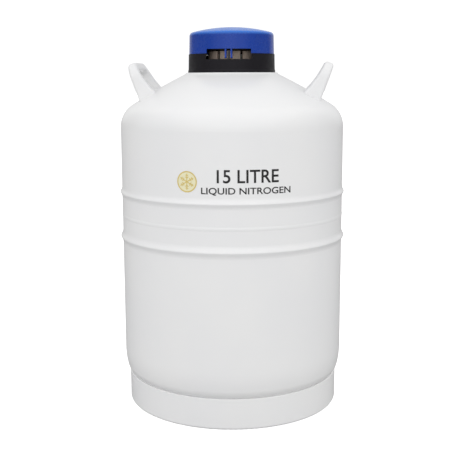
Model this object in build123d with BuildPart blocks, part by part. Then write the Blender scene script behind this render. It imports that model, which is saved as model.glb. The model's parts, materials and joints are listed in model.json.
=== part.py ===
"""Fifteen-litre liquid nitrogen dewar: vacuum jacket, inner vessel, lid and six canisters.

Millimetres, +Z up, origin on the floor under the axis.  The front, with the lock window, faces -Y.
"""
import os
from math import acos, asin, cos, degrees, radians, sin, sqrt

from build123d import *

os.makedirs("parts", exist_ok=True)

# ---- driving dimensions -----------------------------------------------------------------------
# jacket
jacket_radius = 172.5
jacket_wall = 2.0
seam_height = 298.5
upper_rib_height = 334.0
upper_rib_length = 16.0
upper_rib_proud = 2.7
lower_rib_height = 265.0
lower_rib_length = 19.0
lower_rib_proud = 3.2
shoulder_knuckle_height = 434.0
shoulder_knuckle_radius = 40.0
shoulder_knuckle_turn = 58.0
shoulder_radius = 900.0
corner_height = 85.0
corner_radius = 116.0
corner_turn = 13.0
base_knuckle_radius = 22.0
base_slope = 12.0

# foot ring
foot_radius = 165.7
foot_wall = 3.0
foot_height = 47.5
foot_bend_radius = 4.0
foot_flange_radius = 147.0
foot_rim_round = 1.0

# neck
collar_radius = 71.0
collar_top = 515.5
collar_thickness = 5.0
collar_rim_round = 0.8
neck_bore_radius = 25.0
neck_tube_wall = 1.2
neck_tube_bottom = 352.0

# inner vessel
vessel_radius = 137.0
vessel_wall = 1.5
vessel_knuckle_radius = 25.0
vessel_slope = 12.0
vessel_top_knuckle_height = 323.0
vessel_bottom_knuckle_height = 107.0
vessel_seam_height = 215.0
vessel_seam_length = 6.0
vessel_seam_proud = 0.8
joint_ring_radius = 30.0
joint_ring_height = 20.0

# handles
handle_lean = 20.2
handle_outer_x = 136.8
handle_outer_z = 475.0
handle_rise = 56.0
strap_top_width = 13.0
strap_thickness = 14.0
handle_span = 108.0

# neck ring and index crown
ring_foot_radius = 67.2
ring_top_radius = 66.1
ring_bore = 63.0
ring_top = 543.2
ring_floor = 3.0
ring_step = 0.6
ring_step_height = 1.6
window_sill = 535.0
crown_radius = 36.0
crown_wall = 5.0
crown_top = 547.5
crown_base = 3.0
crown_base_radius = 46.0
crown_corner_round = 0.8
slot_width = 5.0
slot_bottom = 527.7
ring_screw_circle = 41.0
window_half_width = 33.0
window_clearance = 1.0
window_depth = 30.0

# lid
lid_height = 584.0
lid_dome_radius = 240.0
lid_side_radius = 64.5
lid_skirt_radius = 65.3
lid_skirt_bottom = 543.5
lid_edge_radius = 6.0
lid_wall = 2.6
lid_window_top = 550.0
liner_radius = 54.0
liner_bottom = 549.0
liner_thickness = 3.0
plug_radius = 20.0
plug_bottom = 365.0
prong_spacing = 8.6
prong_width = 2.4
prong_bottom = 536.0
lug_width = 2.7
padlock_hole_radius = 3.0
padlock_hole_height = 542.0

# canisters
canister_count = 6
canister_radius = 19.0
canister_wall = 0.6
canister_bottom = 85.0
canister_height = 120.0
rod_radius = 1.6
rod_circle = 22.9
rod_height = 529.6
rod_bend = 5.0
rod_socket = 10.0
rod_reach = 55.0
grip_radius = 3.4
grip_start = 39.0
grip_end = 57.5

# small fasteners and the lock lug
ring_screw_count = 6
ring_screw_start = 30.0
screw_radius = 1.7
screw_clearance = 2.0
screw_depth = 4.0
screw_head_radius = 3.4
screw_head_height = 2.2
screw_head_round = 0.9
recess_length = 4.2
recess_width = 0.9
recess_depth = 1.2
lug_screw_distance = 52.4
lug_screw_head_radius = 2.8
lug_foot_width = 9.0
lug_foot_reach = 49.4
lug_top = 548.0
padlock_hole_distance = 60.0

canister_circle = rod_circle + rod_radius + canister_radius
tube_radius = neck_bore_radius + neck_tube_wall
ring_floor_top = collar_top + ring_floor
crown_floor_top = ring_floor_top + crown_base

# centre of the shoulder arc, which runs on from the knuckle
knuckle_centre = jacket_radius - shoulder_knuckle_radius
arc_step = shoulder_radius - shoulder_knuckle_radius
shoulder_centre_r = knuckle_centre - arc_step * cos(radians(shoulder_knuckle_turn))
shoulder_centre_z = shoulder_knuckle_height - arc_step * sin(radians(shoulder_knuckle_turn))


def shoulder_height(radius):
    """Height of the outside of the shoulder at a radius."""
    return shoulder_centre_z + sqrt(shoulder_radius**2 - (radius - shoulder_centre_r) ** 2)


def shoulder_slope(radius):
    """Fall of the shoulder below horizontal, in degrees, at a radius."""
    return degrees(asin((radius - shoulder_centre_r) / shoulder_radius))


def radial_plane(angle):
    """Vertical plane through the axis: local x runs outwards, local y runs up."""
    outward = (cos(radians(angle)), sin(radians(angle)), 0)
    normal = (sin(radians(angle)), -cos(radians(angle)), 0)
    return Plane(origin=(0, 0, 0), x_dir=outward, z_dir=normal)


def radial_side(cup_plane, turn, height):
    """Plane on a cup's axis, facing out through its wall at a turn, at a height above its base."""
    out = cup_plane.rotated((0, 0, turn)).x_dir
    return Plane(origin=cup_plane.offset(height).origin, x_dir=(0, 0, 1), z_dir=out)


def top_rim(piece):
    """The widest circular edge at the top of a turned piece."""
    circles = piece.edges().filter_by(GeomType.CIRCLE)
    return circles.group_by(Axis.Z)[-1].sort_by(SortBy.RADIUS)[-1]


def rib_outline(height, length, proud, inset):
    """A soft rolled bead on the wall, drawn upwards."""
    wall = jacket_radius - inset
    Spline(
        (wall, height - length / 2),
        (wall + proud, height),
        (wall, height + length / 2),
        tangents=((0, 1), (0, 1)),
    )


def upper_outline(inset, hole_radius, start_height):
    """Closed half section of the upper jacket above a height, inset from its outer face."""
    wall = jacket_radius - inset
    rib_low = upper_rib_height - upper_rib_length / 2
    rib_high = upper_rib_height + upper_rib_length / 2
    end_angle = degrees(acos((hole_radius - shoulder_centre_r) / (shoulder_radius - inset)))
    Line((hole_radius, start_height), (wall, start_height))
    Line((wall, start_height), (wall, rib_low))
    rib_outline(upper_rib_height, upper_rib_length, upper_rib_proud, inset)
    Line((wall, rib_high), (wall, shoulder_knuckle_height))
    knuckle = JernArc(
        start=(wall, shoulder_knuckle_height),
        tangent=(0, 1),
        radius=shoulder_knuckle_radius - inset,
        arc_size=shoulder_knuckle_turn,
    )
    shoulder = JernArc(
        start=knuckle @ 1,
        tangent=knuckle % 1,
        radius=shoulder_radius - inset,
        arc_size=end_angle - shoulder_knuckle_turn,
    )
    Line(shoulder @ 1, (hole_radius, start_height))


def lower_outline(inset, start_height):
    """Closed half section of the lower jacket below a height, inset from its outer face."""
    wall = jacket_radius - inset
    rib_low = lower_rib_height - lower_rib_length / 2
    rib_high = lower_rib_height + lower_rib_length / 2
    Line((0, start_height), (wall, start_height))
    Line((wall, start_height), (wall, rib_high))
    rib_outline(lower_rib_height, lower_rib_length, lower_rib_proud, inset)
    Line((wall, rib_low), (wall, corner_height))
    corner = JernArc(
        start=(wall, corner_height),
        tangent=(0, -1),
        radius=corner_radius - inset,
        arc_size=-corner_turn,
    )
    knuckle = JernArc(
        start=corner @ 1,
        tangent=corner % 1,
        radius=base_knuckle_radius - inset,
        arc_size=-(90 - corner_turn - base_slope),
    )
    dish_radius = (knuckle @ 1).X / sin(radians(base_slope))
    dish = JernArc(start=knuckle @ 1, tangent=knuckle % 1, radius=dish_radius, arc_size=-base_slope)
    Line(dish @ 1, (0, start_height))


def vessel_outline(inset, side, hole_radius):
    """Closed half section of one half of the inner vessel: side is 1 for the top, -1 for the base."""
    wall = vessel_radius - inset
    knuckle_height = vessel_top_knuckle_height if side > 0 else vessel_bottom_knuckle_height
    Line((hole_radius, vessel_seam_height), (wall, vessel_seam_height))
    Line((wall, vessel_seam_height), (wall, knuckle_height))
    knuckle = JernArc(
        start=(wall, knuckle_height),
        tangent=(0, side),
        radius=vessel_knuckle_radius - inset,
        arc_size=side * (90 - vessel_slope),
    )
    dish_radius = (knuckle @ 1).X / sin(radians(vessel_slope))
    end_slope = degrees(asin(hole_radius / dish_radius))
    dish = JernArc(
        start=knuckle @ 1,
        tangent=knuckle % 1,
        radius=dish_radius,
        arc_size=side * (vessel_slope - end_slope),
    )
    Line(dish @ 1, (hole_radius, vessel_seam_height))


def lid_outline(inset):
    """Closed half section of the lid, inset from its outer face and open at the skirt."""
    dome = lid_dome_radius - inset
    dome_centre = lid_height - lid_dome_radius
    side = lid_side_radius - inset
    corner_z = dome_centre + sqrt(dome**2 - side**2)
    skirt = lid_skirt_radius - inset
    Line((0, lid_skirt_bottom), (skirt, lid_skirt_bottom))
    Line((skirt, lid_skirt_bottom), (side, corner_z))
    middle = dome * sin(asin(side / dome) / 2)
    ThreePointArc(
        (side, corner_z),
        (middle, dome_centre + sqrt(dome**2 - middle**2)),
        (0, dome_centre + dome),
    )
    Line((0, dome_centre + dome), (0, lid_skirt_bottom))


# ---- solid envelopes, used only to trim what sits against them ----------------------------------
with BuildPart() as jacket_envelope:
    with BuildSketch(Plane.XZ):
        with BuildLine():
            lower_outline(0, seam_height)
        make_face()
        with BuildLine():
            upper_outline(0, 0, seam_height)
        make_face()
    revolve(axis=Axis.Z)

with BuildPart() as vessel_envelope:
    with BuildSketch(Plane.XZ):
        with BuildLine():
            vessel_outline(0, 1, 0)
        make_face()
        with BuildLine():
            vessel_outline(0, -1, 0)
        make_face()
    revolve(axis=Axis.Z)

# ---- jacket ------------------------------------------------------------------------------------
# The evacuation port goes through the back of the shoulder, square to it.
port_distance = 112.0
port_radius = 11.0
port_bore = 6.5
port_cut = 8.0
port_slope = radians(shoulder_slope(port_distance))
port_plane = Plane(
    origin=(0, port_distance, shoulder_height(port_distance)),
    x_dir=(1, 0, 0),
    z_dir=(0, sin(port_slope), cos(port_slope)),
)

# The two halves stop short of each other by the width of the weld.
weld_gap = 3.0
upper_edge = seam_height + weld_gap / 2
lower_edge = seam_height - weld_gap / 2

with BuildPart() as jacket_upper:
    with BuildSketch(Plane.XZ):
        with BuildLine():
            upper_outline(0, collar_radius, upper_edge)
        make_face()
        with BuildLine():
            upper_outline(jacket_wall, collar_radius, upper_edge)
        make_face(mode=Mode.SUBTRACT)
    revolve(axis=Axis.Z)
    with BuildSketch(port_plane):
        Circle(port_radius)
    extrude(amount=port_cut, both=True, mode=Mode.SUBTRACT)
jacket_upper.part.label = "jacket_upper"
export_step(jacket_upper.part, "parts/jacket_upper.step")

with BuildPart() as jacket_lower:
    with BuildSketch(Plane.XZ):
        with BuildLine():
            lower_outline(0, lower_edge)
        make_face()
        with BuildLine():
            lower_outline(jacket_wall, lower_edge)
        make_face(mode=Mode.SUBTRACT)
    revolve(axis=Axis.Z)
jacket_lower.part.label = "jacket_lower"
export_step(jacket_lower.part, "parts/jacket_lower.step")

# Butt weld between the two halves: it fills the gap through the wall and stands a little proud.
cap_half = 3.0
cap_proud = 0.45
with BuildPart() as jacket_seam_weld:
    with BuildSketch(Plane.XZ):
        with BuildLine():
            Polyline(
                (jacket_radius, upper_edge),
                (jacket_radius - jacket_wall, upper_edge),
                (jacket_radius - jacket_wall, lower_edge),
                (jacket_radius, lower_edge),
                (jacket_radius, seam_height - cap_half),
            )
            ThreePointArc(
                (jacket_radius, seam_height - cap_half),
                (jacket_radius + cap_proud, seam_height),
                (jacket_radius, seam_height + cap_half),
            )
            Line((jacket_radius, seam_height + cap_half), (jacket_radius, upper_edge))
        make_face()
    revolve(axis=Axis.Z)
jacket_seam_weld.part.label = "jacket_seam_weld"
export_step(jacket_seam_weld.part, "parts/jacket_seam_weld.step")

# Rolled foot ring with an inward flange; its rim is fitted to the curve of the jacket.
foot_inner = foot_radius - foot_wall
with BuildPart() as foot_ring:
    with BuildSketch(Plane.XZ):
        with BuildLine():
            Polyline(
                (foot_inner, foot_height),
                (foot_radius, foot_height),
                (foot_radius, foot_bend_radius),
            )
            RadiusArc(
                (foot_radius, foot_bend_radius),
                (foot_radius - foot_bend_radius, 0),
                foot_bend_radius,
            )
            Polyline(
                (foot_radius - foot_bend_radius, 0),
                (foot_flange_radius, 0),
                (foot_flange_radius, foot_wall),
                (foot_radius - foot_bend_radius, foot_wall),
            )
            RadiusArc(
                (foot_radius - foot_bend_radius, foot_wall),
                (foot_inner, foot_bend_radius),
                -(foot_bend_radius - foot_wall),
            )
            Line((foot_inner, foot_bend_radius), (foot_inner, foot_height))
        make_face()
    revolve(axis=Axis.Z)
    fillet(top_rim(foot_ring), radius=foot_rim_round)
    add(jacket_envelope.part, mode=Mode.SUBTRACT)
foot_ring.part.label = "foot_ring"
export_step(foot_ring.part, "parts/foot_ring.step")

# ---- handles -----------------------------------------------------------------------------------
# A cast strap loop that leans outwards: its side view and its front view are drawn and crossed.
lean = radians(handle_lean)
lean_up = (sin(lean), cos(lean))
lean_in = (-cos(lean), sin(lean))
leg_depth = 30.0
leg_buried = 26.0
flare_middle_x = 129.0
flare_middle_z = 506.6
flare_foot_x = 108.0
flare_foot_z = 484.0
loop_corner_radius = 25.0
strap_edge_radius = 4.0
handle_cut = 80.0


def strap_point(along, across):
    """Point of the strap's side view, up the lean from the outer foot and inwards across the strap."""
    return (
        handle_outer_x + along * lean_up[0] + across * lean_in[0],
        handle_outer_z + along * lean_up[1] + across * lean_in[1],
    )


def loop_outline(half_width, height, corner):
    """Closed outline of a loop standing on the handle plane, round at its two top corners."""
    Line((-half_width, -leg_depth), (half_width, -leg_depth))
    FilletPolyline(
        (half_width, -leg_depth),
        (half_width, height),
        (-half_width, height),
        (-half_width, -leg_depth),
        radius=corner,
    )


def strap_edges(handle):
    """The long edges of the strap, above its buried feet."""
    low = handle_outer_z - leg_buried
    return handle.edges().filter_by(lambda edge: (edge @ 0.5).Z > low and not_across(edge))


def not_across(edge):
    """True for an edge that runs along the strap rather than straight across it."""
    across = Vector(lean_in[0], 0, lean_in[1])
    return abs((edge % 0.5).dot(across)) < 0.99


handle_plane = Plane(
    origin=(handle_outer_x, 0, handle_outer_z), x_dir=(0, 1, 0), z_dir=(cos(lean), 0, -sin(lean))
)
with BuildPart() as handle_right:
    with BuildSketch(Plane.XZ):
        with BuildLine():
            Line(strap_point(-leg_depth, 0), strap_point(handle_rise, 0))
            Line(strap_point(handle_rise, 0), strap_point(handle_rise, strap_top_width))
            ThreePointArc(
                strap_point(handle_rise, strap_top_width),
                (flare_middle_x, flare_middle_z),
                (flare_foot_x, flare_foot_z),
            )
            Line((flare_foot_x, flare_foot_z), strap_point(-leg_depth, 0))
        make_face()
    extrude(amount=handle_span / 2, both=True)
    with BuildSketch(handle_plane):
        with BuildLine():
            loop_outline(handle_span / 2, handle_rise, loop_corner_radius)
        make_face()
        with BuildLine():
            loop_outline(
                handle_span / 2 - strap_thickness,
                handle_rise - strap_thickness,
                loop_corner_radius - strap_thickness,
            )
        make_face(mode=Mode.SUBTRACT)
    extrude(amount=handle_cut, both=True, mode=Mode.INTERSECT)
    fillet(strap_edges(handle_right), radius=strap_edge_radius)
    add(jacket_envelope.part, mode=Mode.SUBTRACT)
handle_right.part.label = "handle_right"
export_step(handle_right.part, "parts/handle_right.step")

with BuildPart() as handle_left:
    mirror(handle_right.part, about=Plane.YZ)
handle_left.part.label = "handle_left"
export_step(handle_left.part, "parts/handle_left.step")

# ---- neck --------------------------------------------------------------------------------------
with BuildPart() as neck_collar:
    with BuildSketch(Plane.XY.offset(collar_top - collar_thickness)):
        Circle(collar_radius)
        Circle(tube_radius, mode=Mode.SUBTRACT)
    extrude(amount=collar_thickness)
    fillet(top_rim(neck_collar), radius=collar_rim_round)
    with BuildSketch(Plane.XY.offset(collar_top)):
        with PolarLocations(ring_screw_circle, ring_screw_count, start_angle=ring_screw_start):
            Circle(screw_radius)
        with Locations((0, -lug_screw_distance)):
            Circle(screw_radius)
    extrude(amount=-screw_depth, mode=Mode.SUBTRACT)
neck_collar.part.label = "neck_collar"
export_step(neck_collar.part, "parts/neck_collar.step")

# Fillet weld where the collar stands proud of the shoulder.
weld_leg = 3.0
weld_root = 1.0
weld_below_rim = 1.1
weld_top = collar_top - weld_below_rim
weld_toe_radius = collar_radius + weld_leg
with BuildPart() as neck_collar_weld:
    with BuildSketch(Plane.XZ):
        with BuildLine():
            Polyline(
                (collar_radius, weld_top),
                (collar_radius, shoulder_height(collar_radius) - weld_root),
                (weld_toe_radius, shoulder_height(weld_toe_radius) - weld_root),
                (weld_toe_radius, shoulder_height(weld_toe_radius)),
                close=True,
            )
        make_face()
    revolve(axis=Axis.Z)
    add(jacket_envelope.part, mode=Mode.SUBTRACT)
neck_collar_weld.part.label = "neck_collar_weld"
export_step(neck_collar_weld.part, "parts/neck_collar_weld.step")

# Thin low-conductivity tube, bonded into the collar above and the joint ring below.
with BuildPart() as neck_tube:
    with BuildSketch(Plane.XY.offset(neck_tube_bottom)):
        Circle(tube_radius)
        Circle(neck_bore_radius, mode=Mode.SUBTRACT)
    extrude(amount=collar_top - neck_tube_bottom)
neck_tube.part.label = "neck_tube"
export_step(neck_tube.part, "parts/neck_tube.step")

with BuildPart() as neck_joint_ring:
    with BuildSketch(Plane.XY.offset(neck_tube_bottom)):
        Circle(joint_ring_radius)
        Circle(tube_radius, mode=Mode.SUBTRACT)
    extrude(amount=joint_ring_height)
neck_joint_ring.part.label = "neck_joint_ring"
export_step(neck_joint_ring.part, "parts/neck_joint_ring.step")

# ---- inner vessel ------------------------------------------------------------------------------
with BuildPart() as inner_vessel_upper:
    with BuildSketch(Plane.XZ):
        with BuildLine():
            vessel_outline(0, 1, joint_ring_radius)
        make_face()
        with BuildLine():
            vessel_outline(vessel_wall, 1, joint_ring_radius)
        make_face(mode=Mode.SUBTRACT)
    revolve(axis=Axis.Z)
inner_vessel_upper.part.label = "inner_vessel_upper"
export_step(inner_vessel_upper.part, "parts/inner_vessel_upper.step")

with BuildPart() as inner_vessel_lower:
    with BuildSketch(Plane.XZ):
        with BuildLine():
            vessel_outline(0, -1, 0)
        make_face()
        with BuildLine():
            vessel_outline(vessel_wall, -1, 0)
        make_face(mode=Mode.SUBTRACT)
    revolve(axis=Axis.Z)
inner_vessel_lower.part.label = "inner_vessel_lower"
export_step(inner_vessel_lower.part, "parts/inner_vessel_lower.step")

with BuildPart() as inner_seam_weld:
    with BuildSketch(Plane.XY.offset(vessel_seam_height - vessel_seam_length / 2)):
        Circle(vessel_radius + vessel_seam_proud)
        Circle(vessel_radius, mode=Mode.SUBTRACT)
    extrude(amount=vessel_seam_length)
inner_seam_weld.part.label = "inner_seam_weld"
export_step(inner_seam_weld.part, "parts/inner_seam_weld.step")

# ---- inside the vacuum space ---------------------------------------------------------------------
# Adsorbent can under the cold inner vessel, shaped to its base.
adsorbent_radius = 45.0
adsorbent_bottom = 53.0
adsorbent_height = 25.0
adsorbent_round = 3.0
with BuildPart() as adsorbent_pack:
    with BuildSketch(Plane.XY.offset(adsorbent_bottom)):
        Circle(adsorbent_radius)
    extrude(amount=adsorbent_height)
    fillet(adsorbent_pack.edges().group_by(Axis.Z)[0], radius=adsorbent_round)
    add(vessel_envelope.part, mode=Mode.SUBTRACT)
adsorbent_pack.part.label = "adsorbent_pack"
export_step(adsorbent_pack.part, "parts/adsorbent_pack.step")

# Hydrogen getter in an annular tray under the warm neck collar.
getter_outer = 37.0
getter_inner = 28.0
getter_height = 9.0
getter_round = 1.5
with BuildPart() as getter_tray:
    with BuildSketch(Plane.XY.offset(collar_top - collar_thickness)):
        Circle(getter_outer)
        Circle(getter_inner, mode=Mode.SUBTRACT)
    extrude(amount=-getter_height)
    fillet(getter_tray.edges().group_by(Axis.Z)[0], radius=getter_round)
getter_tray.part.label = "getter_tray"
export_step(getter_tray.part, "parts/getter_tray.step")

# Multilayer wrap round the inner vessel, with a hole for the joint ring and a pocket for the can.
wrap_radius = 160.0
wrap_bottom = 46.0
wrap_top = 385.0
wrap_corner = 26.0
wrap_clearance = 0.5
with BuildPart() as insulation_wrap:
    with BuildSketch(Plane.XY.offset(wrap_bottom)):
        Circle(wrap_radius)
    extrude(amount=wrap_top - wrap_bottom)
    fillet(insulation_wrap.edges().filter_by(GeomType.CIRCLE), radius=wrap_corner)
    with BuildSketch(Plane.XY.offset(neck_tube_bottom)):
        Circle(joint_ring_radius + wrap_clearance)
    extrude(amount=wrap_top - neck_tube_bottom, mode=Mode.SUBTRACT)
    with BuildSketch(Plane.XY.offset(adsorbent_bottom - wrap_clearance)):
        Circle(adsorbent_radius + wrap_clearance)
    extrude(amount=adsorbent_height + wrap_clearance, mode=Mode.SUBTRACT)
    with BuildSketch(Plane.XY.offset(vessel_seam_height)):
        Circle(vessel_radius + vessel_seam_proud + wrap_clearance)
    extrude(amount=vessel_seam_length / 2 + wrap_clearance, both=True, mode=Mode.SUBTRACT)
    add(vessel_envelope.part, mode=Mode.SUBTRACT)
insulation_wrap.part.label = "insulation_wrap"
export_step(insulation_wrap.part, "parts/insulation_wrap.step")

# ---- evacuation port ---------------------------------------------------------------------------
port_rise = 8.0
port_tail = 7.0
port_lip_chamfer = 0.8


def outermost_circle(piece):
    """The circular edge of a piece that stands farthest out along the port."""
    far_off = port_plane.offset(10 * port_rise).origin
    return piece.edges().filter_by(GeomType.CIRCLE).sort_by_distance(far_off)[0]


with BuildPart() as vacuum_port:
    with BuildSketch(port_plane.offset(-port_tail)):
        Circle(port_radius)
        Circle(port_bore, mode=Mode.SUBTRACT)
    extrude(amount=port_tail + port_rise)
    chamfer(outermost_circle(vacuum_port), port_lip_chamfer)
vacuum_port.part.label = "vacuum_port"
export_step(vacuum_port.part, "parts/vacuum_port.step")

seal_section = 1.4
port_plug_length = 9.0
port_plug_radius = port_bore - 0.05
port_head_radius = 8.0
port_head_height = 1.5
seal_depth = 5.0
with BuildPart() as vacuum_plug:
    with BuildSketch(port_plane.offset(port_rise)):
        Circle(port_head_radius)
    extrude(amount=port_head_height)
    with BuildSketch(port_plane.offset(port_rise)):
        Circle(port_plug_radius)
    extrude(amount=-port_plug_length)
    with BuildSketch(port_plane.offset(port_rise - seal_depth)):
        Circle(port_plug_radius)
        Circle(port_plug_radius - seal_section, mode=Mode.SUBTRACT)
    extrude(amount=2 * seal_section, mode=Mode.SUBTRACT)
vacuum_plug.part.label = "vacuum_plug"
export_step(vacuum_plug.part, "parts/vacuum_plug.step")

with BuildPart() as vacuum_plug_seal:
    with BuildSketch(port_plane.offset(port_rise - seal_depth)):
        Circle(port_bore)
        Circle(port_plug_radius - seal_section, mode=Mode.SUBTRACT)
    extrude(amount=2 * seal_section)
vacuum_plug_seal.part.label = "vacuum_plug_seal"
export_step(vacuum_plug_seal.part, "parts/vacuum_plug_seal.step")

# Snap-on cap over the port; its rim follows the shoulder.
cap_radius = 15.0
cap_height = 12.5
cap_wall = 1.8
cap_top_wall = 2.4
cap_round = 3.5
cap_skirt = 4.0
cap_clip_depth = 3.0
cap_clip_height = 2.0
with BuildPart() as vacuum_port_cap:
    with BuildSketch(port_plane.offset(-cap_skirt)):
        Circle(cap_radius)
    extrude(amount=cap_skirt + cap_height)
    fillet(outermost_circle(vacuum_port_cap), radius=cap_round)
    with BuildSketch(port_plane.offset(-cap_skirt)):
        Circle(cap_radius - cap_wall)
    extrude(amount=cap_skirt + cap_height - cap_top_wall, mode=Mode.SUBTRACT)
    # the bead that snaps over the port
    with BuildSketch(port_plane.offset(port_rise - cap_clip_depth)):
        Circle(cap_radius - cap_wall)
        Circle(port_radius, mode=Mode.SUBTRACT)
    extrude(amount=cap_clip_height)
    add(jacket_envelope.part, mode=Mode.SUBTRACT)
vacuum_port_cap.part.label = "vacuum_port_cap"
export_step(vacuum_port_cap.part, "parts/vacuum_port_cap.step")

# ---- neck ring and index crown -----------------------------------------------------------------
with BuildPart() as neck_ring:
    with BuildSketch(Plane.XZ):
        with BuildLine():
            Polyline(
                (neck_bore_radius, collar_top),
                (ring_foot_radius, collar_top),
                (ring_foot_radius, ring_floor_top),
                (ring_foot_radius - ring_step, ring_floor_top + ring_step_height),
                (ring_top_radius, ring_top),
                (ring_bore, ring_top),
                (ring_bore, ring_floor_top),
                (neck_bore_radius, ring_floor_top),
                close=True,
            )
        make_face()
    revolve(axis=Axis.Z)
    # the low sill of the lock window, across the front
    with BuildSketch(Plane.XY.offset(window_sill)):
        with Locations((0, -ring_foot_radius)):
            Rectangle(2 * (window_half_width + window_clearance), 2 * (ring_foot_radius - window_depth))
    extrude(amount=ring_top - window_sill, mode=Mode.SUBTRACT)
    with BuildSketch(Plane.XY.offset(collar_top)):
        with PolarLocations(ring_screw_circle, ring_screw_count, start_angle=ring_screw_start):
            Circle(screw_clearance)
        with Locations((0, -lug_screw_distance)):
            Circle(screw_clearance)
    extrude(amount=ring_floor, mode=Mode.SUBTRACT)
neck_ring.part.label = "neck_ring"
export_step(neck_ring.part, "parts/neck_ring.step")

with BuildPart() as index_crown:
    with BuildSketch(Plane.XY.offset(ring_floor_top)):
        Circle(crown_base_radius)
        Circle(crown_radius - crown_wall, mode=Mode.SUBTRACT)
    extrude(amount=crown_base)
    with BuildSketch(Plane.XY.offset(ring_floor_top)):
        Circle(crown_radius)
        Circle(crown_radius - crown_wall, mode=Mode.SUBTRACT)
    extrude(amount=crown_top - ring_floor_top)
    # one slot for each canister rod, open at the top
    with BuildSketch(Plane.XY.offset(slot_bottom)):
        with PolarLocations(crown_radius, canister_count):
            Rectangle(4 * crown_wall, slot_width)
    extrude(amount=crown_top - slot_bottom, mode=Mode.SUBTRACT)
    fillet(index_crown.edges().filter_by(Axis.Z).group_by(Axis.Z)[-1], radius=crown_corner_round)
    with BuildSketch(Plane.XY.offset(ring_floor_top)):
        with PolarLocations(ring_screw_circle, ring_screw_count, start_angle=ring_screw_start):
            Circle(screw_clearance)
    extrude(amount=crown_base, mode=Mode.SUBTRACT)
index_crown.part.label = "index_crown"
export_step(index_crown.part, "parts/index_crown.step")

# Pan-head screws through the crown and the ring into the collar.
with BuildPart() as ring_screws:
    with BuildSketch(Plane.XY.offset(crown_floor_top)):
        with PolarLocations(ring_screw_circle, ring_screw_count, start_angle=ring_screw_start):
            Circle(screw_head_radius)
    extrude(amount=screw_head_height)
    fillet(ring_screws.edges().filter_by(GeomType.CIRCLE).group_by(Axis.Z)[-1], radius=screw_head_round)
    with BuildSketch(Plane.XY.offset(crown_floor_top)):
        with PolarLocations(ring_screw_circle, ring_screw_count, start_angle=ring_screw_start):
            Circle(screw_radius)
    extrude(amount=-(crown_base + ring_floor + screw_depth))
    with BuildSketch(Plane.XY.offset(crown_floor_top + screw_head_height)):
        with PolarLocations(ring_screw_circle, ring_screw_count, start_angle=ring_screw_start):
            Rectangle(recess_length, recess_width)
            Rectangle(recess_width, recess_length)
    extrude(amount=-recess_depth, mode=Mode.SUBTRACT)
ring_screws.part.label = "ring_screws"
export_step(ring_screws.part, "parts/ring_screws.step")

# Upright lug that stands between the lid's two prongs, on a foot screwed to the floor of the ring.
lug_back = 55.5
lug_foot = 2.0
lug_low_front = ring_bore - 0.4
lug_high_front = ring_top_radius - 0.8
lug_top_round = 2.5
with BuildPart() as lock_lug:
    with BuildSketch(Plane.XY.offset(ring_floor_top)):
        with Locations((0, -(lug_back + lug_low_front) / 2)):
            Rectangle(lug_width, lug_low_front - lug_back)
    extrude(amount=window_sill - ring_floor_top)
    with BuildSketch(Plane.XY.offset(window_sill)):
        with Locations((0, -(lug_back + lug_high_front) / 2)):
            Rectangle(lug_width, lug_high_front - lug_back)
    extrude(amount=lug_top - window_sill)
    fillet(lock_lug.edges().filter_by(Axis.X).group_by(Axis.Z)[-1], radius=lug_top_round)
    with BuildSketch(Plane.XY.offset(ring_floor_top)):
        with Locations((0, -(lug_back + lug_foot_reach) / 2)):
            Rectangle(lug_foot_width, lug_back - lug_foot_reach)
    extrude(amount=lug_foot)
    with BuildSketch(Plane.XY.offset(ring_floor_top)):
        with Locations((0, -lug_screw_distance)):
            Circle(screw_clearance)
    extrude(amount=lug_foot, mode=Mode.SUBTRACT)
    with BuildSketch(Plane.YZ):
        with Locations((-padlock_hole_distance, padlock_hole_height)):
            Circle(padlock_hole_radius)
    extrude(amount=lug_width, both=True, mode=Mode.SUBTRACT)
lock_lug.part.label = "lock_lug"
export_step(lock_lug.part, "parts/lock_lug.step")

with BuildPart() as lug_screw:
    with BuildSketch(Plane.XY.offset(ring_floor_top + lug_foot)):
        with Locations((0, -lug_screw_distance)):
            Circle(lug_screw_head_radius)
    extrude(amount=screw_head_height)
    fillet(lug_screw.edges().filter_by(GeomType.CIRCLE).group_by(Axis.Z)[-1], radius=screw_head_round)
    with BuildSketch(Plane.XY.offset(ring_floor_top + lug_foot)):
        with Locations((0, -lug_screw_distance)):
            Circle(screw_radius)
    extrude(amount=-(lug_foot + ring_floor + screw_depth))
lug_screw.part.label = "lug_screw"
export_step(lug_screw.part, "parts/lug_screw.step")

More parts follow.
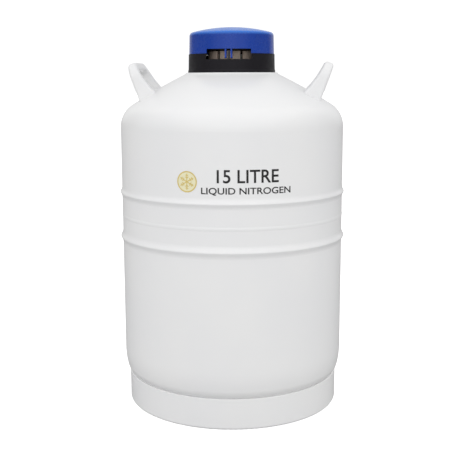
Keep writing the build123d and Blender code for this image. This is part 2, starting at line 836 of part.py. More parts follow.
# ---- lid ---------------------------------------------------------------------------------------
lid_screw_count = 3
lid_screw_start = 90.0
lid_screw_circle = 46.0
boss_radius = 4.5
boss_bore_depth = 10.0
with BuildPart() as lid_cover:
    with BuildSketch(Plane.XZ):
        with BuildLine():
            lid_outline(0)
        make_face()
    revolve(axis=Axis.Z)
    circles = lid_cover.edges().filter_by(GeomType.CIRCLE)
    top_edge = circles.filter_by(lambda edge: abs(edge.radius - lid_side_radius) < 0.01)
    fillet(top_edge, radius=lid_edge_radius)
    with BuildSketch(Plane.XZ):
        with BuildLine():
            lid_outline(lid_wall)
        make_face()
    revolve(axis=Axis.Z, mode=Mode.SUBTRACT)
    with BuildSketch(Plane.XY.offset(liner_bottom + liner_thickness)):
        with PolarLocations(lid_screw_circle, lid_screw_count, start_angle=lid_screw_start):
            Circle(boss_radius)
    extrude(until=Until.NEXT)
    with BuildSketch(Plane.XY.offset(liner_bottom + liner_thickness)):
        with PolarLocations(lid_screw_circle, lid_screw_count, start_angle=lid_screw_start):
            Circle(screw_radius)
    extrude(amount=boss_bore_depth, mode=Mode.SUBTRACT)
    # lock window in the front of the skirt
    with BuildSketch(Plane.XY.offset(lid_skirt_bottom)):
        with Locations((0, -lid_skirt_radius)):
            Rectangle(2 * window_half_width, lid_skirt_radius)
    extrude(amount=lid_window_top - lid_skirt_bottom, mode=Mode.SUBTRACT)
lid_cover.part.label = "lid_cover"
export_step(lid_cover.part, "parts/lid_cover.step")

# Two prongs on a bar behind the skirt, bored for a padlock.
bar_half_length = 12.0
bar_depth = 4.0
bar_gap = 1.6
bar_front = lid_side_radius - lid_wall - bar_gap
bar_back = bar_front - bar_depth
bar_bottom = lid_window_top + 0.4
bar_top = liner_bottom + 9.0
prong_front = lid_skirt_radius - 0.5
prong_step_top = lid_window_top - 0.3
prong_tip_round = 2.0
with BuildPart() as lock_prongs:
    with BuildSketch(Plane.XY.offset(bar_bottom)):
        with Locations((0, -(bar_front + bar_back) / 2)):
            Rectangle(2 * bar_half_length, bar_depth)
    extrude(amount=bar_top - bar_bottom)
    with BuildSketch(Plane.XY.offset(prong_bottom)):
        with GridLocations(prong_spacing, 0, 2, 1):
            with Locations((0, -(bar_back + prong_front) / 2)):
                Rectangle(prong_width, prong_front - bar_back)
    extrude(amount=prong_step_top - prong_bottom)
    with BuildSketch(Plane.XY.offset(prong_bottom)):
        with GridLocations(prong_spacing, 0, 2, 1):
            with Locations((0, -(bar_front + bar_back) / 2)):
                Rectangle(prong_width, bar_depth)
    extrude(amount=bar_top - prong_bottom)
    fillet(lock_prongs.edges().filter_by(Axis.X).group_by(Axis.Z)[0], radius=prong_tip_round)
    with BuildSketch(Plane.YZ):
        with Locations((-padlock_hole_distance, padlock_hole_height)):
            Circle(padlock_hole_radius)
    extrude(amount=bar_half_length, both=True, mode=Mode.SUBTRACT)
lock_prongs.part.label = "lock_prongs"
export_step(lock_prongs.part, "parts/lock_prongs.step")

# Liner plate with a socket for the foam plug.
socket_wall = 3.0
socket_depth = 5.5
liner_edge_round = 1.2
with BuildPart() as lid_liner:
    with BuildSketch(Plane.XY.offset(liner_bottom)):
        Circle(liner_radius)
    extrude(amount=liner_thickness)
    fillet(lid_liner.edges().filter_by(GeomType.CIRCLE).group_by(Axis.Z)[0], radius=liner_edge_round)
    with BuildSketch(Plane.XY.offset(liner_bottom)):
        Circle(plug_radius + socket_wall)
        Circle(plug_radius, mode=Mode.SUBTRACT)
    extrude(amount=-socket_depth)
    with BuildSketch(Plane.XY.offset(liner_bottom)):
        with PolarLocations(lid_screw_circle, lid_screw_count, start_angle=lid_screw_start):
            Circle(screw_clearance)
    extrude(amount=liner_thickness, mode=Mode.SUBTRACT)
lid_liner.part.label = "lid_liner"
export_step(lid_liner.part, "parts/lid_liner.step")

lid_screw_head_height = 1.4
lid_screw_head_round = 0.6
lid_screw_grip = 8.0
with BuildPart() as lid_screws:
    with BuildSketch(Plane.XY.offset(liner_bottom)):
        with PolarLocations(lid_screw_circle, lid_screw_count, start_angle=lid_screw_start):
            Circle(screw_head_radius)
    extrude(amount=-lid_screw_head_height)
    heads = lid_screws.edges().filter_by(GeomType.CIRCLE).group_by(Axis.Z)[0]
    fillet(heads, radius=lid_screw_head_round)
    with BuildSketch(Plane.XY.offset(liner_bottom)):
        with PolarLocations(lid_screw_circle, lid_screw_count, start_angle=lid_screw_start):
            Circle(screw_radius)
    extrude(amount=liner_thickness + lid_screw_grip)
lid_screws.part.label = "lid_screws"
export_step(lid_screws.part, "parts/lid_screws.step")

with BuildPart() as neck_plug:
    with BuildSketch(Plane.XY.offset(plug_bottom)):
        Circle(plug_radius)
    extrude(amount=liner_bottom - plug_bottom)
neck_plug.part.label = "neck_plug"
export_step(neck_plug.part, "parts/neck_plug.step")

end_cap_thickness = 3.0
end_cap_round = 1.5
with BuildPart() as plug_end_cap:
    with BuildSketch(Plane.XY.offset(plug_bottom - end_cap_thickness)):
        Circle(plug_radius)
    extrude(amount=end_cap_thickness)
    fillet(plug_end_cap.edges().filter_by(GeomType.CIRCLE).group_by(Axis.Z)[0], radius=end_cap_round)
plug_end_cap.part.label = "plug_end_cap"
export_step(plug_end_cap.part, "parts/plug_end_cap.step")

# ---- canisters ---------------------------------------------------------------------------------
bracket_low = 100.0
bracket_high = 112.0
bracket_width = 7.0
bracket_wall = 2.0
rod_foot = 14.0
cup_base_round = 1.5
drain_radius = 2.0
drain_circle = 11.0
side_hole_height = 12.0
grip_end_round = 1.2
for number in range(1, canister_count + 1):
    angle = (number - 1) * 360 / canister_count
    plane = radial_plane(angle)
    outward = plane.x_dir
    cup_plane = Plane(
        origin=outward * canister_circle + Vector(0, 0, canister_bottom), x_dir=outward, z_dir=(0, 0, 1)
    )

    with BuildPart() as canister_cup:
        with BuildSketch(cup_plane):
            Circle(canister_radius)
        extrude(amount=canister_height)
        base_edge = canister_cup.edges().filter_by(GeomType.CIRCLE).group_by(Axis.Z)[0]
        fillet(base_edge, radius=cup_base_round)
        # small bracket that carries the rod
        with BuildSketch(cup_plane.offset(bracket_low)):
            with Locations((-canister_radius - rod_radius / 2, 0)):
                Rectangle(rod_radius + bracket_wall, bracket_width)
        extrude(amount=bracket_high - bracket_low)
        with BuildSketch(cup_plane.offset(canister_wall)):
            Circle(canister_radius - canister_wall)
        extrude(amount=canister_height, mode=Mode.SUBTRACT)
        with BuildSketch(cup_plane):
            Circle(drain_radius)
            with PolarLocations(drain_circle, 6):
                Circle(drain_radius)
        extrude(amount=canister_wall, mode=Mode.SUBTRACT)
        # five side holes; the sixth place is behind the rod
        for side_hole in range(1, 6):
            with BuildSketch(radial_side(cup_plane, 60 * side_hole, side_hole_height)):
                Circle(drain_radius)
            extrude(amount=canister_radius, mode=Mode.SUBTRACT)
        with BuildSketch(cup_plane):
            with Locations((rod_circle - canister_circle, 0)):
                Circle(rod_radius)
        extrude(amount=canister_height + rod_socket, mode=Mode.SUBTRACT)
    canister_cup.part.label = f"canister_{number}_cup"
    export_step(canister_cup.part, f"parts/canister_{number}_cup.step")

    with BuildPart() as canister_rod:
        with BuildLine(plane) as path:
            FilletPolyline(
                (rod_circle, canister_bottom + rod_foot),
                (rod_circle, rod_height),
                (rod_reach, rod_height),
                radius=rod_bend,
            )
        with BuildSketch(Plane(origin=path.line @ 0, z_dir=path.line % 0)):
            Circle(rod_radius)
        sweep(path=path.line)
    canister_rod.part.label = f"canister_{number}_rod"
    export_step(canister_rod.part, f"parts/canister_{number}_rod.step")

    grip_plane = Plane(
        origin=outward * grip_start + Vector(0, 0, rod_height), x_dir=(0, 0, 1), z_dir=outward
    )
    with BuildPart() as canister_grip:
        with BuildSketch(grip_plane):
            Circle(grip_radius)
        extrude(amount=grip_end - grip_start)
        fillet(canister_grip.edges().filter_by(GeomType.CIRCLE), radius=grip_end_round)
        with BuildSketch(grip_plane):
            Circle(rod_radius)
        extrude(amount=rod_reach - grip_start, mode=Mode.SUBTRACT)
    canister_grip.part.label = f"canister_{number}_grip"
    export_step(canister_grip.part, f"parts/canister_{number}_grip.step")
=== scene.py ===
"""Looks of the liquid nitrogen dewar: materials, print, weld beads, studio, camera.

Metres, +Z up.  The front of the vessel faces -Y.
"""
import json
import math

import bmesh
import bpy
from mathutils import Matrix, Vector


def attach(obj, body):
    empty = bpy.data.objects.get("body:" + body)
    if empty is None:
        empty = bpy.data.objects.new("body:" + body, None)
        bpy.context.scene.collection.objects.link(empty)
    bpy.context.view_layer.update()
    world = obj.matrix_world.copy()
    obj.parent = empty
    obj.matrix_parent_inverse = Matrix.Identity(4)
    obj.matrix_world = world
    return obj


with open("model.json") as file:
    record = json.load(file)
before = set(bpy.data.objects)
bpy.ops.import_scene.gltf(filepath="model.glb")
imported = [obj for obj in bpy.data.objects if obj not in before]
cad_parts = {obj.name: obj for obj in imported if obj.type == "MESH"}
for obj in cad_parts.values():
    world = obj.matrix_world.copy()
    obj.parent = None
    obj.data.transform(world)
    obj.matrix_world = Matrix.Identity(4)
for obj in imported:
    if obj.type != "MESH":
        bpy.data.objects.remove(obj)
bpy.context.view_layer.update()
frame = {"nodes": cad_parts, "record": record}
nodes = frame["nodes"]


# ---- material helpers --------------------------------------------------------------------------
COAT_ROUGHNESS = 0.05
# noise is centred on a half, so these two stretches use the part of its range that it fills
TONE_RANGE = (0.35, 0.65)
ROUGHNESS_RANGE = (0.3, 0.7)


def new_material(name, colour, roughness, metallic=0.0, coat=0.0):
    """A material with one Principled shader."""
    material = bpy.data.materials.new(name)
    material.use_nodes = True
    shader = material.node_tree.nodes["Principled BSDF"]
    shader.inputs["Base Color"].default_value = (*colour, 1)
    shader.inputs["Roughness"].default_value = roughness
    shader.inputs["Metallic"].default_value = metallic
    shader.inputs["Coat Weight"].default_value = coat
    shader.inputs["Coat Roughness"].default_value = COAT_ROUGHNESS
    return material


def link(material, out, into):
    """Joins an output socket to an input socket."""
    material.node_tree.links.new(out, into)


def noise(material, scale, detail=3.0, stretch=(1, 1, 1)):
    """Noise in object space, scale in features per metre, times a stretch for each axis."""
    tree = material.node_tree
    place = tree.nodes.new("ShaderNodeTexCoord")
    mapping = tree.nodes.new("ShaderNodeMapping")
    mapping.inputs["Scale"].default_value = stretch
    texture = tree.nodes.new("ShaderNodeTexNoise")
    texture.inputs["Scale"].default_value = scale
    texture.inputs["Detail"].default_value = detail
    link(material, place.outputs["Object"], mapping.inputs["Vector"])
    link(material, mapping.outputs["Vector"], texture.inputs["Vector"])
    return texture.outputs["Fac"]


def shader_of(material):
    """The material's Principled shader."""
    return material.node_tree.nodes["Principled BSDF"]


def drive(material, out, socket):
    """Joins an output to a named input of the material's shader."""
    link(material, out, shader_of(material).inputs[socket])


def ramp(material, value, low, high):
    """Colour between low and high as the value crosses TONE_RANGE."""
    node = material.node_tree.nodes.new("ShaderNodeValToRGB")
    for stop, position, colour in zip(node.color_ramp.elements, TONE_RANGE, (low, high)):
        stop.position = position
        stop.color = (*colour, 1)
    link(material, value, node.inputs["Fac"])
    return node.outputs["Color"]


def span(material, value, low, high):
    """A number between low and high as the value crosses ROUGHNESS_RANGE."""
    node = material.node_tree.nodes.new("ShaderNodeMapRange")
    node.inputs["From Min"].default_value = ROUGHNESS_RANGE[0]
    node.inputs["From Max"].default_value = ROUGHNESS_RANGE[1]
    node.inputs["To Min"].default_value = low
    node.inputs["To Max"].default_value = high
    link(material, value, node.inputs["Value"])
    return node.outputs["Result"]


def bump(material, value, strength, distance):
    """Raises the surface by the value, distance in metres."""
    node = material.node_tree.nodes.new("ShaderNodeBump")
    node.inputs["Strength"].default_value = strength
    node.inputs["Distance"].default_value = distance
    link(material, value, node.inputs["Height"])
    drive(material, node.outputs["Normal"], "Normal")


# ---- materials ---------------------------------------------------------------------------------
# scales in features per metre, heights in metres
ENAMEL_COOL, ENAMEL_WHITE, ENAMEL_TONE_SCALE = (0.795, 0.797, 0.805), (0.815, 0.815, 0.815), 9
ENAMEL_GLOSS, ENAMEL_DULL, ENAMEL_GLOSS_SCALE = 0.28, 0.36, 35
ENAMEL_PEEL, ENAMEL_PEEL_HEIGHT, ENAMEL_PEEL_SCALE, ENAMEL_PEEL_DETAIL = 0.08, 0.0002, 420, 2
PLASTIC_TONE_SCALE = 40
PLASTIC_DRIFT, PLASTIC_DRIFT_SCALE = 0.15, 90
PLASTIC_GRAIN, PLASTIC_GRAIN_DETAIL = 0.35, 4
BRUSHED_SCALE, BRUSHED_DETAIL = 60, 5
BRUSHED_DARKER, BRUSHED_GLOSSIER, BRUSHED_DULLER = 0.88, 0.8, 1.3
BRUSHED_DEPTH, BRUSHED_HEIGHT = 0.15, 0.00005


def white_enamel():
    """Baked white enamel: faint orange peel, a trace of cooler patches."""
    material = new_material("white enamel", (0.80, 0.80, 0.80), 0.32, coat=0.25)
    tone = noise(material, ENAMEL_TONE_SCALE)
    drive(material, ramp(material, tone, ENAMEL_COOL, ENAMEL_WHITE), "Base Color")
    gloss = noise(material, ENAMEL_GLOSS_SCALE)
    drive(material, span(material, gloss, ENAMEL_GLOSS, ENAMEL_DULL), "Roughness")
    peel = noise(material, ENAMEL_PEEL_SCALE, ENAMEL_PEEL_DETAIL)
    bump(material, peel, ENAMEL_PEEL, ENAMEL_PEEL_HEIGHT)
    return material


def plastic(name, colour, variation, roughness, grain, grain_height):
    """Moulded plastic with a fine grain and a slight change of tone."""
    material = new_material(name, colour, roughness)
    low = tuple(channel * (1 - variation) for channel in colour)
    high = tuple(channel * (1 + variation) for channel in colour)
    drive(material, ramp(material, noise(material, PLASTIC_TONE_SCALE), low, high), "Base Color")
    glossy, dull = roughness * (1 - PLASTIC_DRIFT), roughness * (1 + PLASTIC_DRIFT)
    drift = noise(material, PLASTIC_DRIFT_SCALE)
    drive(material, span(material, drift, glossy, dull), "Roughness")
    bump(material, noise(material, grain, PLASTIC_GRAIN_DETAIL), PLASTIC_GRAIN, grain_height)
    return material


def brushed(name, colour, roughness, stretch):
    """Bare metal with fine lines left by turning or drawing."""
    material = new_material(name, colour, roughness, metallic=1.0)
    lines = noise(material, BRUSHED_SCALE, BRUSHED_DETAIL, stretch)
    low = tuple(channel * BRUSHED_DARKER for channel in colour)
    drive(material, ramp(material, lines, low, colour), "Base Color")
    glossy, dull = roughness * BRUSHED_GLOSSIER, roughness * BRUSHED_DULLER
    drive(material, span(material, lines, glossy, dull), "Roughness")
    bump(material, lines, BRUSHED_DEPTH, BRUSHED_HEIGHT)
    return material


def paint_highlight_on_upward_faces(material, colour, start, end):
    """Painted highlight: turns the base colour to a lighter one as the normal's height goes from
    start to end.
    """
    normal = material.node_tree.nodes.new("ShaderNodeNewGeometry")
    split = material.node_tree.nodes.new("ShaderNodeSeparateXYZ")
    share = material.node_tree.nodes.new("ShaderNodeMapRange")
    mix = material.node_tree.nodes.new("ShaderNodeMix")
    mix.data_type = "RGBA"
    factor, first, second, result = mix.inputs[0], mix.inputs[6], mix.inputs[7], mix.outputs[2]
    share.inputs["From Min"].default_value = start
    share.inputs["From Max"].default_value = end
    second.default_value = (*colour, 1)
    link(material, normal.outputs["Normal"], split.inputs[0])
    link(material, split.outputs["Z"], share.inputs["Value"])
    link(material, share.outputs["Result"], factor)
    link(material, shader_of(material).inputs["Base Color"].links[0].from_socket, first)
    drive(material, result, "Base Color")


enamel = white_enamel()
blue = plastic("blue moulded plastic with painted top highlight", (0.003, 0.040, 0.31), 0.02, 0.27, 900, 0.00003)
# painted highlight: the lid's upward faces get a lighter blue, standing in for light falling from
# above
paint_highlight_on_upward_faces(blue, (0.022, 0.16, 0.62), 0.05, 0.75)
black = plastic("black moulded plastic", (0.007, 0.006, 0.009), 0.05, 0.5, 900, 0.00004)
shader_of(black).inputs["Specular IOR Level"].default_value = 0.3
crown_brown = plastic("grey-brown moulded plastic", (0.58, 0.47, 0.39), 0.08, 0.6, 500, 0.00005)
white_plastic = plastic("white plastic", (0.78, 0.78, 0.76), 0.03, 0.4, 700, 0.00006)
foam = plastic("rigid foam", (0.74, 0.76, 0.72), 0.06, 0.85, 700, 0.0004)
laminate = plastic("glass laminate", (0.55, 0.56, 0.36), 0.1, 0.35, 300, 0.0001)
rubber = plastic("black rubber", (0.012, 0.012, 0.012), 0.1, 0.7, 600, 0.0001)
dark_steel = brushed("darkened steel", (0.10, 0.10, 0.11), 0.45, (1, 1, 30))
aluminium = brushed("spun aluminium", (0.80, 0.81, 0.83), 0.35, (1, 1, 40))
steel = brushed("drawn stainless steel", (0.62, 0.61, 0.60), 0.28, (1, 1, 30))
foil = brushed("foil wrap", (0.85, 0.85, 0.87), 0.25, (1, 1, 1))

MATERIAL_OF_SLOT = {
    "white_enamel": enamel,
    "bare_aluminium": aluminium,
    "neck_tube_laminate": laminate,
    "foil_wrap": foil,
    "stainless": steel,
    "seal_rubber": rubber,
    "black_plastic": black,
    "grey_brown_plastic": crown_brown,
    "lug_metal": dark_steel,
    "blue_plastic": blue,
    "plug_foam": foam,
    "white_plastic": white_plastic,
}
for part in frame["record"]["subparts"]:
    mesh = nodes[part["node"]].data
    mesh.materials.clear()
    mesh.materials.append(MATERIAL_OF_SLOT[part["material_slot"]])


# ---- print on the wall -------------------------------------------------------------------------
WALL_RADIUS = 0.1725    # the CAD's jacket
PRINT_PROUD = 0.00022
DISC_PROUD = 0.00012
STRIP = 0.002           # widest flat stretch of a drawing once it is bent
CIRCLE_STEPS = 72
LETTER_SMOOTHNESS = 6
LETTER_WEIGHT = 0.012

EMBLEM_AZIMUTH, EMBLEM_HEIGHT = -17.2, 0.365
EMBLEM_RADIUS, EMBLEM_GROUND_RADIUS = 0.015, 0.0146
# parts of the snowflake as shares of its radius
RING_INSIDE = 0.88
ARM_REACH, ARM_WIDTH = 0.76, 0.09
FORKS = ((0.34, 0.2), (0.54, 0.17))    # distance from the centre, length
FORK_WIDTH, FORK_ANGLE = 0.08, 55


def wrap(mesh, azimuth, height, proud=PRINT_PROUD):
    """Bends a flat drawing, centred on the origin, round the wall at an azimuth and height."""
    drawing = bmesh.new()
    drawing.from_mesh(mesh)
    reach = max(abs(vertex.co.x) for vertex in drawing.verts)
    cuts = int(reach / STRIP)
    for step in range(-cuts, cuts + 1):
        everything = drawing.verts[:] + drawing.edges[:] + drawing.faces[:]
        cut_at = (step * STRIP, 0, 0)
        bmesh.ops.bisect_plane(drawing, geom=everything, plane_co=cut_at, plane_no=(1, 0, 0))
    radius = WALL_RADIUS + proud
    for vertex in drawing.verts:
        angle = math.radians(azimuth) + vertex.co.x / WALL_RADIUS
        vertex.co = (radius * math.sin(angle), -radius * math.cos(angle), height + vertex.co.y)
    drawing.to_mesh(mesh)
    drawing.free()


def add_piece(name, mesh, material):
    """Adds a visual piece that belongs to the vessel."""
    mesh.materials.clear()
    mesh.materials.append(material)
    piece = bpy.data.objects.new(name, mesh)
    bpy.context.scene.collection.objects.link(piece)
    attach(piece, "vessel")


def print_words(name, words, azimuth, height, width, cap_height, material):
    """Prints one line of capitals on the wall, stretched to a width and cap height."""
    data = bpy.data.curves.new(name, "FONT")
    data.body = words
    data.fill_mode = "FRONT"
    data.resolution_u = LETTER_SMOOTHNESS
    data.offset = LETTER_WEIGHT
    text = bpy.data.objects.new(name + "_outline", data)
    bpy.context.scene.collection.objects.link(text)
    bpy.context.view_layer.update()
    filled = text.evaluated_get(bpy.context.evaluated_depsgraph_get())
    mesh = bpy.data.meshes.new_from_object(filled)
    bpy.data.objects.remove(text)
    low = [min(vertex.co[axis] for vertex in mesh.vertices) for axis in (0, 1)]
    high = [max(vertex.co[axis] for vertex in mesh.vertices) for axis in (0, 1)]
    for vertex in mesh.vertices:
        across = (vertex.co.x - low[0]) / (high[0] - low[0]) - 0.5
        up = (vertex.co.y - low[1]) / (high[1] - low[1]) - 0.5
        vertex.co = (across * width, up * cap_height, 0)
    wrap(mesh, azimuth, height)
    add_piece(name, mesh, material)


def print_disc(name, azimuth, height, radius, material):
    """Prints a plain disc, the ground under the snowflake."""
    turns = [2 * math.pi * step / CIRCLE_STEPS for step in range(CIRCLE_STEPS)]
    mesh = bpy.data.meshes.new(name)
    rim = [(radius * math.cos(turn), radius * math.sin(turn), 0) for turn in turns]
    mesh.from_pydata(rim, [], [tuple(range(CIRCLE_STEPS))])
    wrap(mesh, azimuth, height, DISC_PROUD)
    add_piece(name, mesh, material)


def print_snowflake(name, azimuth, height, radius, material):
    """Prints a six-armed snowflake in a ring."""
    corners, faces = [], []

    def quad(points):
        """Adds one four-sided face."""
        faces.append(tuple(range(len(corners), len(corners) + 4)))
        corners.extend((x, y, 0) for x, y in points)

    def bar(start, end, width):
        """A straight stroke between two points."""
        along = Vector((end[0] - start[0], end[1] - start[1])).normalized() * (width / 2)
        side = (-along.y, along.x)
        quad([(start[0] - side[0], start[1] - side[1]), (end[0] - side[0], end[1] - side[1]),
              (end[0] + side[0], end[1] + side[1]), (start[0] + side[0], start[1] + side[1])])

    def at(distance, angle):
        """The point at a distance from the centre, in a direction."""
        return distance * math.cos(angle), distance * math.sin(angle)

    inner, outer = RING_INSIDE * radius, radius
    for step in range(CIRCLE_STEPS):
        first, second = (2 * math.pi * turn / CIRCLE_STEPS for turn in (step, step + 1))
        quad([at(inner, first), at(outer, first), at(outer, second), at(inner, second)])
    for arm in range(6):
        angle = math.radians(30 + 60 * arm)
        bar(at(0.0, angle), at(ARM_REACH * radius, angle), ARM_WIDTH * radius)
        for fork, length in FORKS:
            root = at(fork * radius, angle)
            for side in (-1, 1):
                tip = at(length * radius, angle + side * math.radians(FORK_ANGLE))
                bar(root, (root[0] + tip[0], root[1] + tip[1]), FORK_WIDTH * radius)
    mesh = bpy.data.meshes.new(name)
    mesh.from_pydata(corners, [], faces)
    wrap(mesh, azimuth, height)
    add_piece(name, mesh, material)


ink = plastic("black print", (0.014, 0.013, 0.014), 0.05, 0.5, 900, 0.00001)
gold = plastic("gold print", (0.66, 0.52, 0.17), 0.06, 0.38, 900, 0.00001)
pale_gold = plastic("pale gold print", (0.80, 0.76, 0.52), 0.03, 0.4, 900, 0.00001)
print_disc("emblem_ground", EMBLEM_AZIMUTH, EMBLEM_HEIGHT, EMBLEM_GROUND_RADIUS, pale_gold)
print_snowflake("snowflake_print", EMBLEM_AZIMUTH, EMBLEM_HEIGHT, EMBLEM_RADIUS, gold)
# azimuth in degrees, then the height, width and cap height of the line
print_words("capacity_print", "15 LITRE", 11.8, 0.373, 0.088, 0.0186, ink)
print_words("contents_print", "LIQUID NITROGEN", 11.2, 0.352, 0.129, 0.011, ink)


# ---- weld beads round the handle feet ------------------------------------------------------------
FOOT_INNER, FOOT_OUTER = 0.1125, 0.1352
FOOT_NEAR, FOOT_FAR = 0.0405, 0.0538
FOOT_CORNER = 0.004
CORNER_STEPS = 6
BEAD_RADIUS = 0.0013
BEAD_SIDES = 10
# the arc of the CAD's shoulder, with its centre as radius and height
SHOULDER_ARC = 0.900
SHOULDER_CENTRE = (-0.3232, -0.2953)


def shoulder_height(radius):
    """Height of the outside of the shoulder at a radius."""
    across = radius - SHOULDER_CENTRE[0]
    return SHOULDER_CENTRE[1] + math.sqrt(SHOULDER_ARC**2 - across**2)


def foot_path(side, end):
    """Points round one handle foot, lying on the shoulder, with round corners."""
    corners = [(FOOT_OUTER, FOOT_FAR), (FOOT_INNER, FOOT_FAR),
               (FOOT_INNER, FOOT_NEAR), (FOOT_OUTER, FOOT_NEAR)]
    path = []
    for corner, (x, y) in enumerate(corners):
        inward_x = -1 if x == FOOT_OUTER else 1
        inward_y = -1 if y == FOOT_FAR else 1
        for step in range(CORNER_STEPS + 1):
            angle = math.radians(90 * corner + 90 / CORNER_STEPS * step)
            px = x + inward_x * FOOT_CORNER + FOOT_CORNER * math.cos(angle)
            py = y + inward_y * FOOT_CORNER + FOOT_CORNER * math.sin(angle)
            path.append(Vector((side * px, end * py, shoulder_height(math.hypot(px, py)))))
    return path


def closed_tube(name, path, radius):
    """A round tube along a closed path."""
    corners, faces = [], []
    count = len(path)
    for index, point in enumerate(path):
        ahead = (path[(index + 1) % count] - path[index - 1]).normalized()
        side = ahead.cross(Vector((0, 0, 1))).normalized()
        up = side.cross(ahead)
        for turn in range(BEAD_SIDES):
            angle = 2 * math.pi * turn / BEAD_SIDES
            corners.append(point + radius * (math.cos(angle) * side + math.sin(angle) * up))
    for index in range(count):
        this, after = index * BEAD_SIDES, (index + 1) % count * BEAD_SIDES
        for turn in range(BEAD_SIDES):
            beside = (turn + 1) % BEAD_SIDES
            faces.append((this + turn, this + beside, after + beside, after + turn))
    mesh = bpy.data.meshes.new(name)
    mesh.from_pydata(corners, [], faces)
    mesh.polygons.foreach_set("use_smooth", [True] * len(mesh.polygons))
    return mesh


for side, side_name in ((1, "right"), (-1, "left")):
    for end, end_name in ((1, "back"), (-1, "front")):
        bead_name = f"handle_weld_{side_name}_{end_name}"
        bead = closed_tube(bead_name, foot_path(side, end), BEAD_RADIUS)
        add_piece(bead_name, bead, enamel)


# ---- studio ------------------------------------------------------------------------------------
# strengths of the room's light by direction
FRONT_ABOVE = 0.80
REAR_ABOVE = 0.78
BELOW = 0.30
SIDE_LOBE, SIDE_SHARPNESS = 1.08, 3.0
# what reflections see instead: dark flags at the sides, a brighter ceiling
FLAG_LEVEL = 0.18
FLAG_STARTS, FLAG_ENDS = 0.55, 0.85
TOP_REFLECTION = 0.15
TOP_STARTS, TOP_ENDS = 0.5, 0.9
# half-widths of the soft edges between front and rear, and above and below
REAR_BLEND, HORIZON_BLEND = 0.3, 0.2
BACKDROP_LEVEL = 1.05

FLOOR_TONE, FLOOR_ROUGHNESS = 0.38, 0.9
FLOOR_REACH = 30.0
BOX_POWER, BOX_SIZE = 16.0, 1.4
BOX_DISTANCE, BOX_ELEVATION, BOX_AIM_HEIGHT = 2.4, 14, 0.3

CAMERA_DISTANCE, CAMERA_HEIGHT, CAMERA_LENS = 1.370, 0.5077, 69.28
# degrees: round the vessel, down, away from the vessel's axis, and about the view
CAMERA_TURN, CAMERA_PITCH, CAMERA_ASIDE, CAMERA_ROLL = 4.25, 9.68, 0.338, 0.25


def make_floor():
    """A wide floor: a mid tone to the light it bounces, white to the camera."""
    mesh = bpy.data.meshes.new("studio_floor")
    signs = ((-1, -1), (1, -1), (1, 1), (-1, 1))
    corners = [(x * FLOOR_REACH, y * FLOOR_REACH, 0) for x, y in signs]
    mesh.from_pydata(corners, [], [(0, 1, 2, 3)])
    floor = bpy.data.objects.new("studio_floor", mesh)
    bpy.context.scene.collection.objects.link(floor)
    pale = new_material("studio floor", (FLOOR_TONE, FLOOR_TONE, FLOOR_TONE), FLOOR_ROUGHNESS)
    shader_of(pale).inputs["Emission Color"].default_value = (1, 1, 1, 1)
    rays = pale.node_tree.nodes.new("ShaderNodeLightPath")
    drive(pale, rays.outputs["Is Camera Ray"], "Emission Strength")
    mesh.materials.append(pale)


def make_front_box():
    """One large soft box straight in front and a little above, left out of reflections."""
    data = bpy.data.lights.new("front_box", "AREA")
    data.shape = "SQUARE"
    data.size = BOX_SIZE
    data.energy = BOX_POWER
    light = bpy.data.objects.new("front_box", data)
    bpy.context.scene.collection.objects.link(light)
    elevation = math.radians(BOX_ELEVATION)
    back_to_box = Vector((0, -math.cos(elevation), math.sin(elevation)))
    light.location = Vector((0, 0, BOX_AIM_HEIGHT)) + back_to_box * BOX_DISTANCE
    light.rotation_mode = "QUATERNION"
    light.rotation_quaternion = back_to_box.to_track_quat("Z", "Y")
    light.visible_camera = False
    light.visible_glossy = False


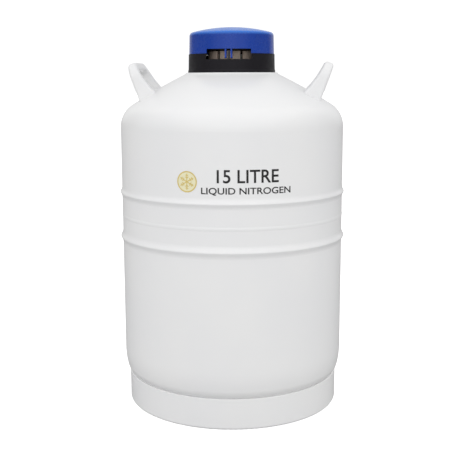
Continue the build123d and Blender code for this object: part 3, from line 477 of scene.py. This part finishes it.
def make_world():
    """The white room: soft light from all round and above, little from below.

    Reflections see the same room with dark flags at its sides, and the camera sees plain white.
    """
    world = bpy.data.worlds.new("studio")
    bpy.context.scene.world = world
    world.use_nodes = True
    tree = world.node_tree
    background = tree.nodes["Background"]
    background.inputs["Color"].default_value = (1, 1, 1, 1)
    place = tree.nodes.new("ShaderNodeTexCoord")
    split = tree.nodes.new("ShaderNodeSeparateXYZ")
    tree.links.new(place.outputs["Generated"], split.inputs[0])

    def wire(node, sockets, values):
        """Sets each input to a number, or joins it to an output."""
        for socket, value in zip(sockets, values):
            if isinstance(value, (int, float)):
                node.inputs[socket].default_value = value
            else:
                tree.links.new(value, node.inputs[socket])

    def remap(value, start, end, low, high):
        """A soft step from low to high as the value goes from start to end."""
        node = tree.nodes.new("ShaderNodeMapRange")
        node.interpolation_type = "SMOOTHSTEP"
        sockets = ("Value", "From Min", "From Max", "To Min", "To Max")
        wire(node, sockets, (value, start, end, low, high))
        return node.outputs["Result"]

    def combine(operation, first, second=0.0):
        """One step of arithmetic on one or two values."""
        node = tree.nodes.new("ShaderNodeMath")
        node.operation = operation
        wire(node, (0, 1), (first, second))
        return node.outputs[0]

    def mix(factor, first, second):
        """A value between the first and the second."""
        node = tree.nodes.new("ShaderNodeMix")
        node.data_type = "FLOAT"
        wire(node, (0, 2, 3), (factor, first, second))
        return node.outputs[0]

    rear = remap(split.outputs["Y"], -REAR_BLEND, REAR_BLEND, 0.0, 1.0)
    upper = remap(split.outputs["Z"], -HORIZON_BLEND, HORIZON_BLEND, 0.0, 1.0)
    room = mix(upper, BELOW, mix(rear, FRONT_ABOVE, REAR_ABOVE))
    sideways = combine("ABSOLUTE", split.outputs["X"])
    side_lobe = combine("MULTIPLY", combine("POWER", sideways, SIDE_SHARPNESS), SIDE_LOBE)
    lit = combine("ADD", room, side_lobe)

    flags = remap(sideways, FLAG_STARTS, FLAG_ENDS, 1.0, FLAG_LEVEL)
    ceiling = remap(split.outputs["Z"], TOP_STARTS, TOP_ENDS, 0.0, TOP_REFLECTION)
    reflected = combine("ADD", combine("MULTIPLY", room, flags), ceiling)

    rays = tree.nodes.new("ShaderNodeLightPath")
    strength = mix(rays.outputs["Is Glossy Ray"], lit, reflected)
    strength = mix(rays.outputs["Is Camera Ray"], strength, BACKDROP_LEVEL)
    tree.links.new(strength, background.inputs["Strength"])


def make_camera():
    """The photographer's view: above the middle of the vessel, turned a few degrees."""
    turn, pitch = math.radians(CAMERA_TURN), math.radians(CAMERA_PITCH)
    aside, roll = math.radians(CAMERA_ASIDE), math.radians(CAMERA_ROLL)
    data = bpy.data.cameras.new("camera")
    data.lens = CAMERA_LENS
    camera = bpy.data.objects.new("camera", data)
    bpy.context.scene.collection.objects.link(camera)
    across, back = CAMERA_DISTANCE * math.sin(turn), CAMERA_DISTANCE * math.cos(turn)
    camera.location = (across, -back, CAMERA_HEIGHT)
    camera.rotation_euler = (math.pi / 2 - pitch, roll, turn + aside)
    bpy.context.scene.camera = camera


make_floor()
make_world()
make_front_box()
make_camera()
bpy.context.scene.view_settings.view_transform = "Standard"
